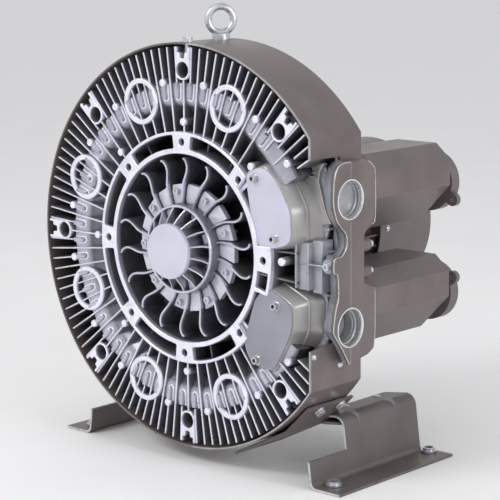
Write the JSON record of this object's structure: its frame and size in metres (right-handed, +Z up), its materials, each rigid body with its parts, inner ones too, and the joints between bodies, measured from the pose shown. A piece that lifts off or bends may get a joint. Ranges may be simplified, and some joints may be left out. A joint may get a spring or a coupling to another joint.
{
  "type": "side channel blower",
  "caption": "Side channel blower with finned round casing, direct-drive motor, twin side silencers, sheet hood, lifting eye and bent sheet feet.",
  "frame": {"origin": "on the floor, at the centre of the four foot bolt holes", "axes": "+Z up, shaft along Y with the finned front cover facing -Y and the motor's fan cowl at +Y, +X the side with the ports and silencers"},
  "size_m": [0.542, 0.446, 0.6335],
  "materials": {
    "cast_aluminium": "satin bare casting",
    "painted_grey": "metallic grey-brown paint",
    "bare_sheet": "matt plate",
    "steel": "ground",
    "zinc": "zinc plated",
    "copper": "enamelled copper winding",
    "rubber": "matt",
    "foam": "open foam",
    "plastic": "moulded"
  },
  "bodies": {
    "housing": {"bearing_bracket": "cast_aluminium", "bracket_screws": "zinc", "casing_bolts": "zinc", "cover_gaskets": "rubber", "cover_plate_lower": "bare_sheet", "cover_plate_upper": "bare_sheet", "cover_screws": "zinc", "cowl_screws": "zinc", "eyebolt": "zinc", "fan_cowl": "painted_grey", "foot_bolts": "zinc", "foot_bushings": "zinc", "foot_left": "painted_grey", "foot_right": "painted_grey", "front_casing": "cast_aluminium", "front_outer_race": "steel", "gland_body": "plastic", "gland_nut": "plastic", "hood": "painted_grey", "hood_screws": "zinc", "hood_top_bolt": "zinc", "hub_cap": "bare_sheet", "lid_screws": "zinc", "manifold": "painted_grey", "manifold_screws": "zinc", "motor_bolts": "zinc", "motor_frame": "painted_grey", "pipe_flange_lower": "painted_grey", "pipe_flange_screws": "zinc", "pipe_flange_upper": "painted_grey", "port_plugs": "zinc", "rear_casing": "cast_aluminium", "rear_outer_race": "steel", "rear_shield": "painted_grey", "saddle_bolts": "zinc", "saddle_left": "painted_grey", "saddle_right": "painted_grey", "shaft_seal": "rubber", "silencer_cores": "steel", "silencer_foams": "foam", "silencer_lower": "painted_grey", "silencer_upper": "painted_grey", "stator_core": "steel", "stator_windings": "copper", "terminal_board": "plastic", "terminal_box": "painted_grey", "terminal_lid": "painted_grey", "wave_spring": "steel"},
    "rotor": {"shaft": "steel", "impeller_key": "steel", "impeller": "cast_aluminium", "impeller_nut": "steel", "motor_rotor": "cast_aluminium", "cooling_fan": "plastic", "front_inner_race": "steel", "rear_inner_race": "steel"},
    "front_cage": {"front_ball_cage": "steel", "front_balls": "steel"},
    "rear_cage": {"rear_ball_cage": "steel", "rear_balls": "steel"}
  },
  "joints": [
    {"name": "rotor_spin", "type": "hinge", "parent": "housing", "child": "rotor", "pos_m": [0, 0, 0.304], "axis": [0, 1, 0], "continuous": true},
    {"name": "front_cage_spin", "type": "hinge", "parent": "housing", "child": "front_cage", "pos_m": [0, -0.1575, 0.304], "axis": [0, 1, 0], "continuous": true},
    {"name": "rear_cage_spin", "type": "hinge", "parent": "housing", "child": "rear_cage", "pos_m": [0, 0.1575, 0.304], "axis": [0, 1, 0], "continuous": true}
  ],
  "couplings": [
    {"joint": "front_cage_spin", "follows": "rotor_spin", "ratio": 0.379},
    {"joint": "rear_cage_spin", "follows": "rotor_spin", "ratio": 0.379}
  ]
}
